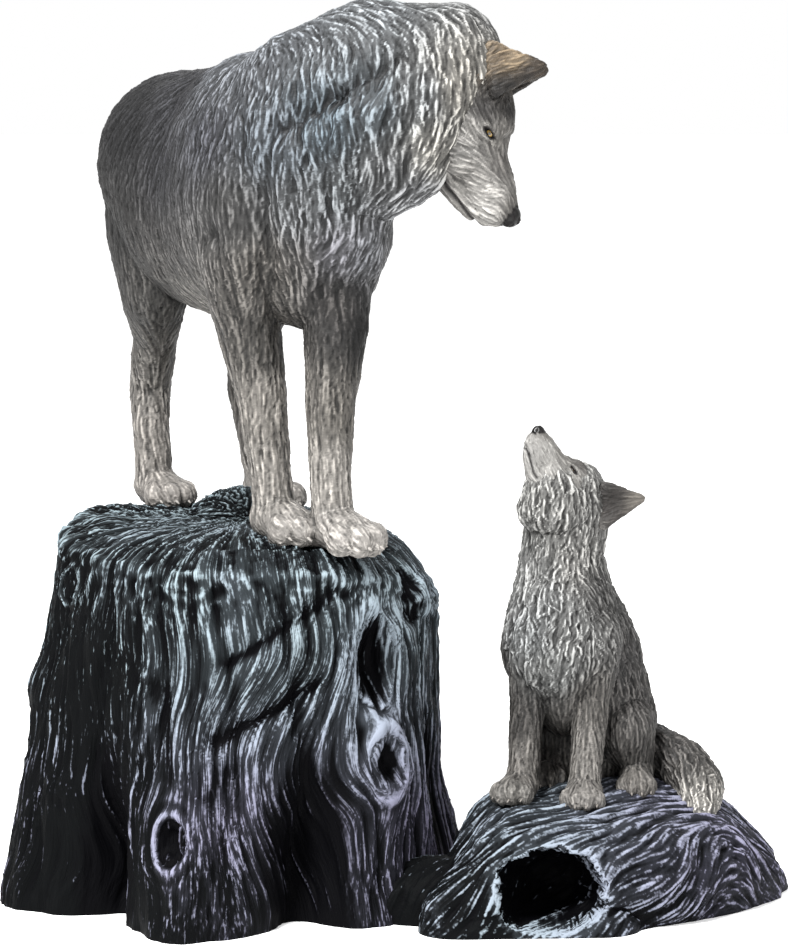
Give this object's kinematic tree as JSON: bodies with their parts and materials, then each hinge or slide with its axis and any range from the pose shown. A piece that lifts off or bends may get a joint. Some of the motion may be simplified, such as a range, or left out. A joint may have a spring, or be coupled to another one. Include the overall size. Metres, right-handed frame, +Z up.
{
  "type": "wolf figurine",
  "caption": "Painted figurine of a grown wolf that stands on a tree stump and looks down at its pup, which sits on a fallen log.",
  "frame": {"origin": "on the table, in the middle of the footprint's bounding box", "axes": "+Z up; +Y away from the viewer, so -Y is the side the picture shows; +X to the viewer's right, from the stump to the log"},
  "size_m": [0.2366, 0.1548, 0.2666],
  "materials": {
    "casting": "hand-painted resin, semi-matt"
  },
  "bodies": {
    "root": {"wolf_figurine": "casting"}
  },
  "joints": []
}
